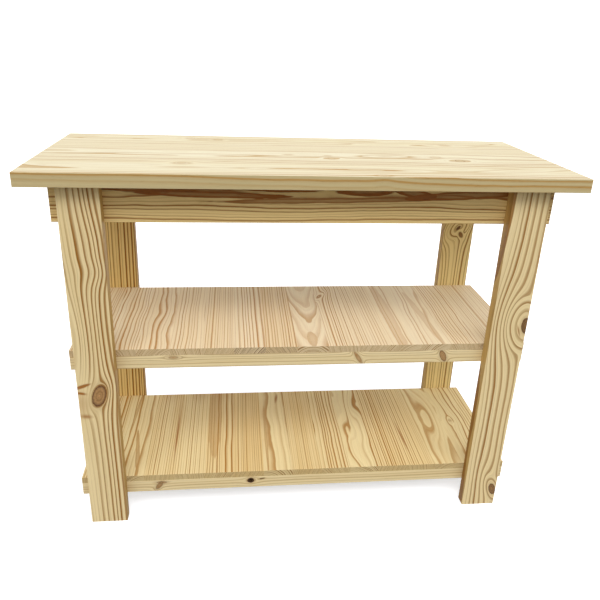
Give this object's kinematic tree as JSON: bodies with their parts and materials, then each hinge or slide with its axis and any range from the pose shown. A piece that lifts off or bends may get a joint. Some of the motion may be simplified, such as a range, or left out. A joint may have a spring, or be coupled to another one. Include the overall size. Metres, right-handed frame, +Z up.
{
  "type": "potting bench",
  "caption": "Free-standing pine potting bench: edge-glued worktop on board legs and aprons, over two full-depth shelves of front-to-back staves.",
  "frame": {"origin": "on the floor, under the middle of the bench", "axes": "+X along the bench, +Y from its front to its back, +Z up"},
  "size_m": [1.2192, 0.489, 0.9144],
  "materials": {
    "worktop_pine": "planed, unfinished",
    "leg_pine": "planed, unfinished",
    "frame_pine": "planed, unfinished",
    "mid_shelf_pine": "planed, unfinished",
    "bottom_shelf_pine": "planed, unfinished",
    "screw_steel": "zinc plated"
  },
  "bodies": {
    "root": {"apron_back": "frame_pine", "apron_front": "frame_pine", "apron_screws": "screw_steel", "bottom_cross_left": "frame_pine", "bottom_cross_right": "frame_pine", "bottom_rail_back": "frame_pine", "bottom_rail_front": "frame_pine", "bottom_stave_01": "bottom_shelf_pine", "bottom_stave_02": "bottom_shelf_pine", "bottom_stave_03": "bottom_shelf_pine", "bottom_stave_04": "bottom_shelf_pine", "bottom_stave_05": "bottom_shelf_pine", "bottom_stave_06": "bottom_shelf_pine", "bottom_stave_07": "bottom_shelf_pine", "bottom_stave_08": "bottom_shelf_pine", "bottom_stave_09": "bottom_shelf_pine", "bottom_stave_10": "bottom_shelf_pine", "bottom_stave_11": "bottom_shelf_pine", "bottom_stave_12": "bottom_shelf_pine", "bottom_stave_13": "bottom_shelf_pine", "bottom_stave_14": "bottom_shelf_pine", "bottom_stave_15": "bottom_shelf_pine", "cross_screws": "screw_steel", "leg_back_left": "leg_pine", "leg_back_right": "leg_pine", "leg_front_left": "leg_pine", "leg_front_right": "leg_pine", "mid_cross_left": "frame_pine", "mid_cross_right": "frame_pine", "mid_rail_back": "frame_pine", "mid_rail_front": "frame_pine", "mid_stave_01": "mid_shelf_pine", "mid_stave_02": "mid_shelf_pine", "mid_stave_03": "mid_shelf_pine", "mid_stave_04": "mid_shelf_pine", "mid_stave_05": "mid_shelf_pine", "mid_stave_06": "mid_shelf_pine", "mid_stave_07": "mid_shelf_pine", "mid_stave_08": "mid_shelf_pine", "mid_stave_09": "mid_shelf_pine", "mid_stave_10": "mid_shelf_pine", "mid_stave_11": "mid_shelf_pine", "mid_stave_12": "mid_shelf_pine", "mid_stave_13": "mid_shelf_pine", "mid_stave_14": "mid_shelf_pine", "mid_stave_15": "mid_shelf_pine", "rail_screws": "screw_steel", "shelf_screws": "screw_steel", "stretcher_left": "frame_pine", "stretcher_right": "frame_pine", "stretcher_screws": "screw_steel", "top_board_1": "worktop_pine", "top_board_2": "worktop_pine", "top_board_3": "worktop_pine", "top_board_4": "worktop_pine", "top_screws": "screw_steel"}
  },
  "joints": []
}
